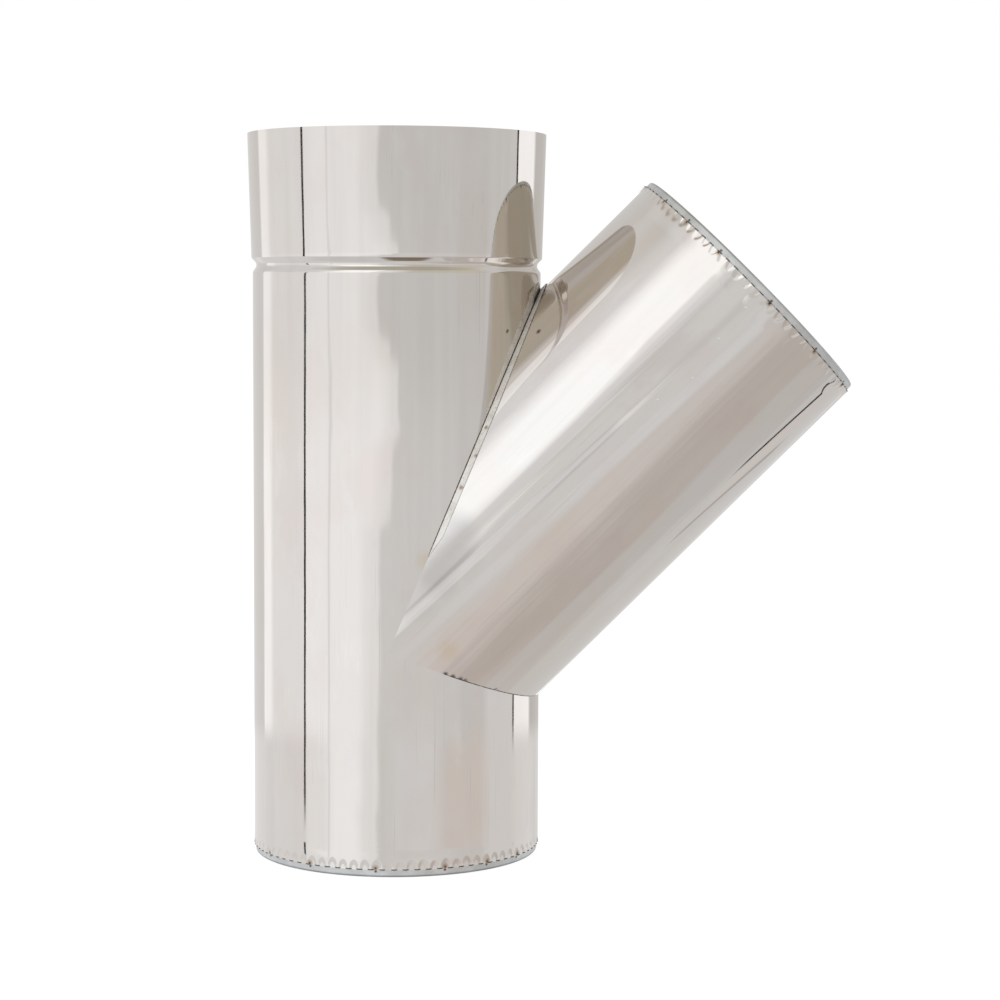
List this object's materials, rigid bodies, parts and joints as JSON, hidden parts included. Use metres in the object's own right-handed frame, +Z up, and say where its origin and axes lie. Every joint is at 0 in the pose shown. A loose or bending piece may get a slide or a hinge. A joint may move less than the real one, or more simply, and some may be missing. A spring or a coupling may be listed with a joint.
{
  "type": "insulated twin-wall chimney tee",
  "caption": "Insulated twin-wall chimney tee: an upright run and a slanted branch of the same diameter, with a rolled groove, a flared top socket, closed wool space and an open flue inside.",
  "frame": {"origin": "on the run's axis, in the plane of the base ring's face and the flue's lower edge", "axes": "+Z up the run towards the flared socket; the branch leans towards +X in the XZ plane at 45 degrees"},
  "size_m": [0.4188, 0.207, 0.5],
  "materials": {
    "polished_casing": "mirror-polished stainless sheet, faintly wavy, with light scratches along the axis and brown heat tint at the spot welds",
    "flue_steel": "mill-finish stainless sheet",
    "galvanised_ring": "dull galvanised sheet, light bluish grey",
    "stone_wool": "compressed stone wool"
  },
  "bodies": {
    "root": {"run_casing": "polished_casing", "branch_casing": "polished_casing", "run_flue": "flue_steel", "branch_flue": "flue_steel", "base_end_ring": "galvanised_ring", "branch_end_ring": "galvanised_ring", "top_cover_ring": "galvanised_ring", "run_wool": "stone_wool", "branch_wool": "stone_wool"}
  },
  "joints": []
}
